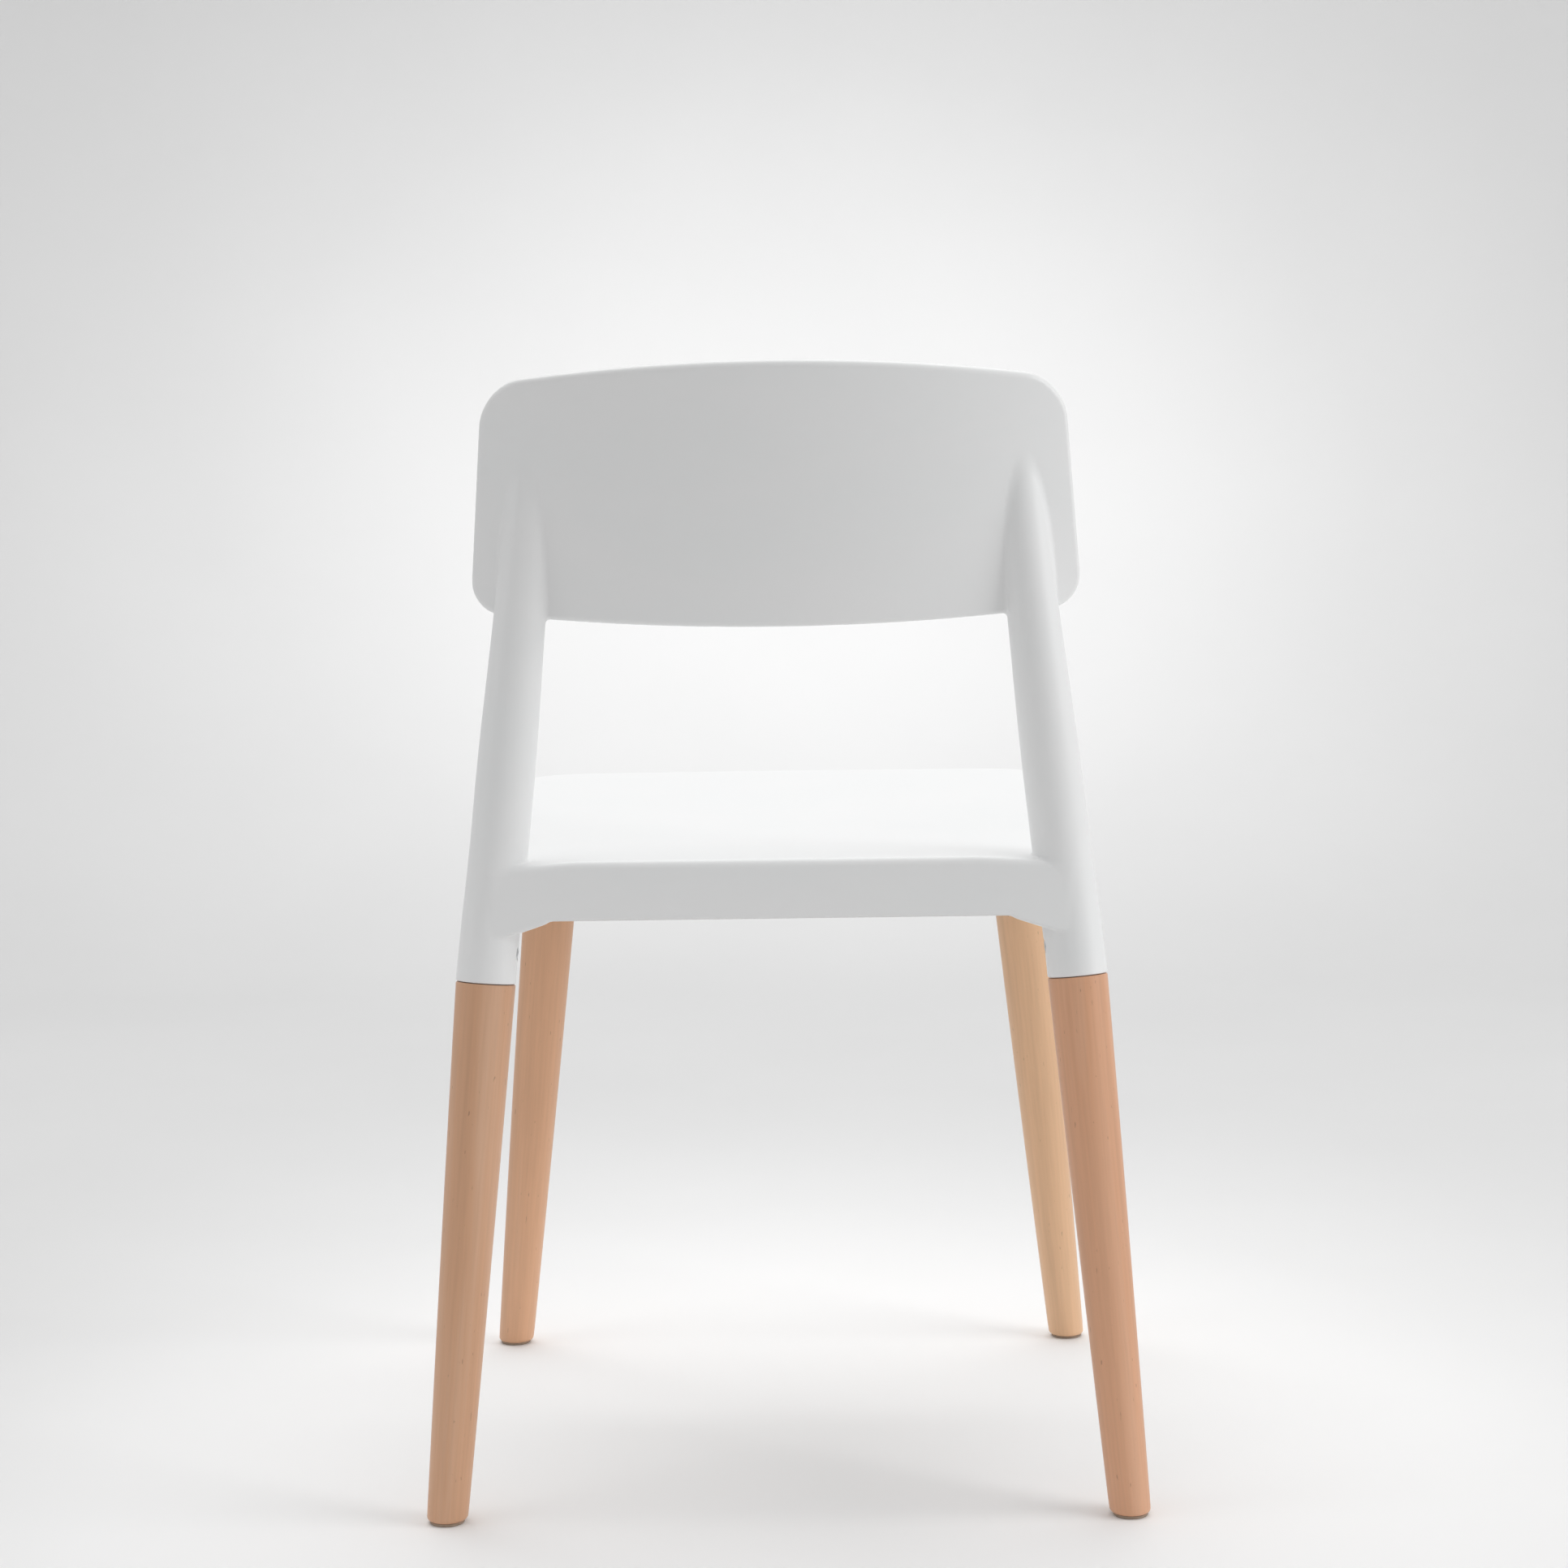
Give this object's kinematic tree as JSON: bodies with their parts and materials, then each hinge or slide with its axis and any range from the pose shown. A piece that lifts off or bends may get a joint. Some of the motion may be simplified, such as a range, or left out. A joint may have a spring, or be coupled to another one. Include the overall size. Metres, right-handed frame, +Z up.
{
  "type": "dining chair",
  "caption": "Dining chair with a white moulded seat, round rear uprights and a bent backrest, on splayed tapered beech legs.",
  "frame": {"origin": "on the floor, under the centre of the chair's bounding box", "axes": "+Z up, +Y towards the chair's back, +X towards the sitter's left"},
  "size_m": [0.495, 0.5046, 0.785],
  "materials": {
    "white_plastic": "satin moulded polypropylene",
    "beech": "clear matt lacquer over turned beech",
    "glide_nylon": "matt moulded nylon",
    "zinc_steel": "zinc plated",
    "brass": "bright machined"
  },
  "bodies": {
    "root": {"seat_shell": "white_plastic", "left_upright": "white_plastic", "right_upright": "white_plastic", "backrest": "white_plastic", "front_left_leg": "beech", "front_right_leg": "beech", "rear_left_leg": "beech", "rear_right_leg": "beech", "front_left_glide": "glide_nylon", "front_right_glide": "glide_nylon", "rear_left_glide": "glide_nylon", "rear_right_glide": "glide_nylon", "glide_nails": "zinc_steel", "leg_screws": "zinc_steel", "flat_washers": "zinc_steel", "spring_washers": "zinc_steel", "threaded_inserts": "brass"}
  },
  "joints": []
}
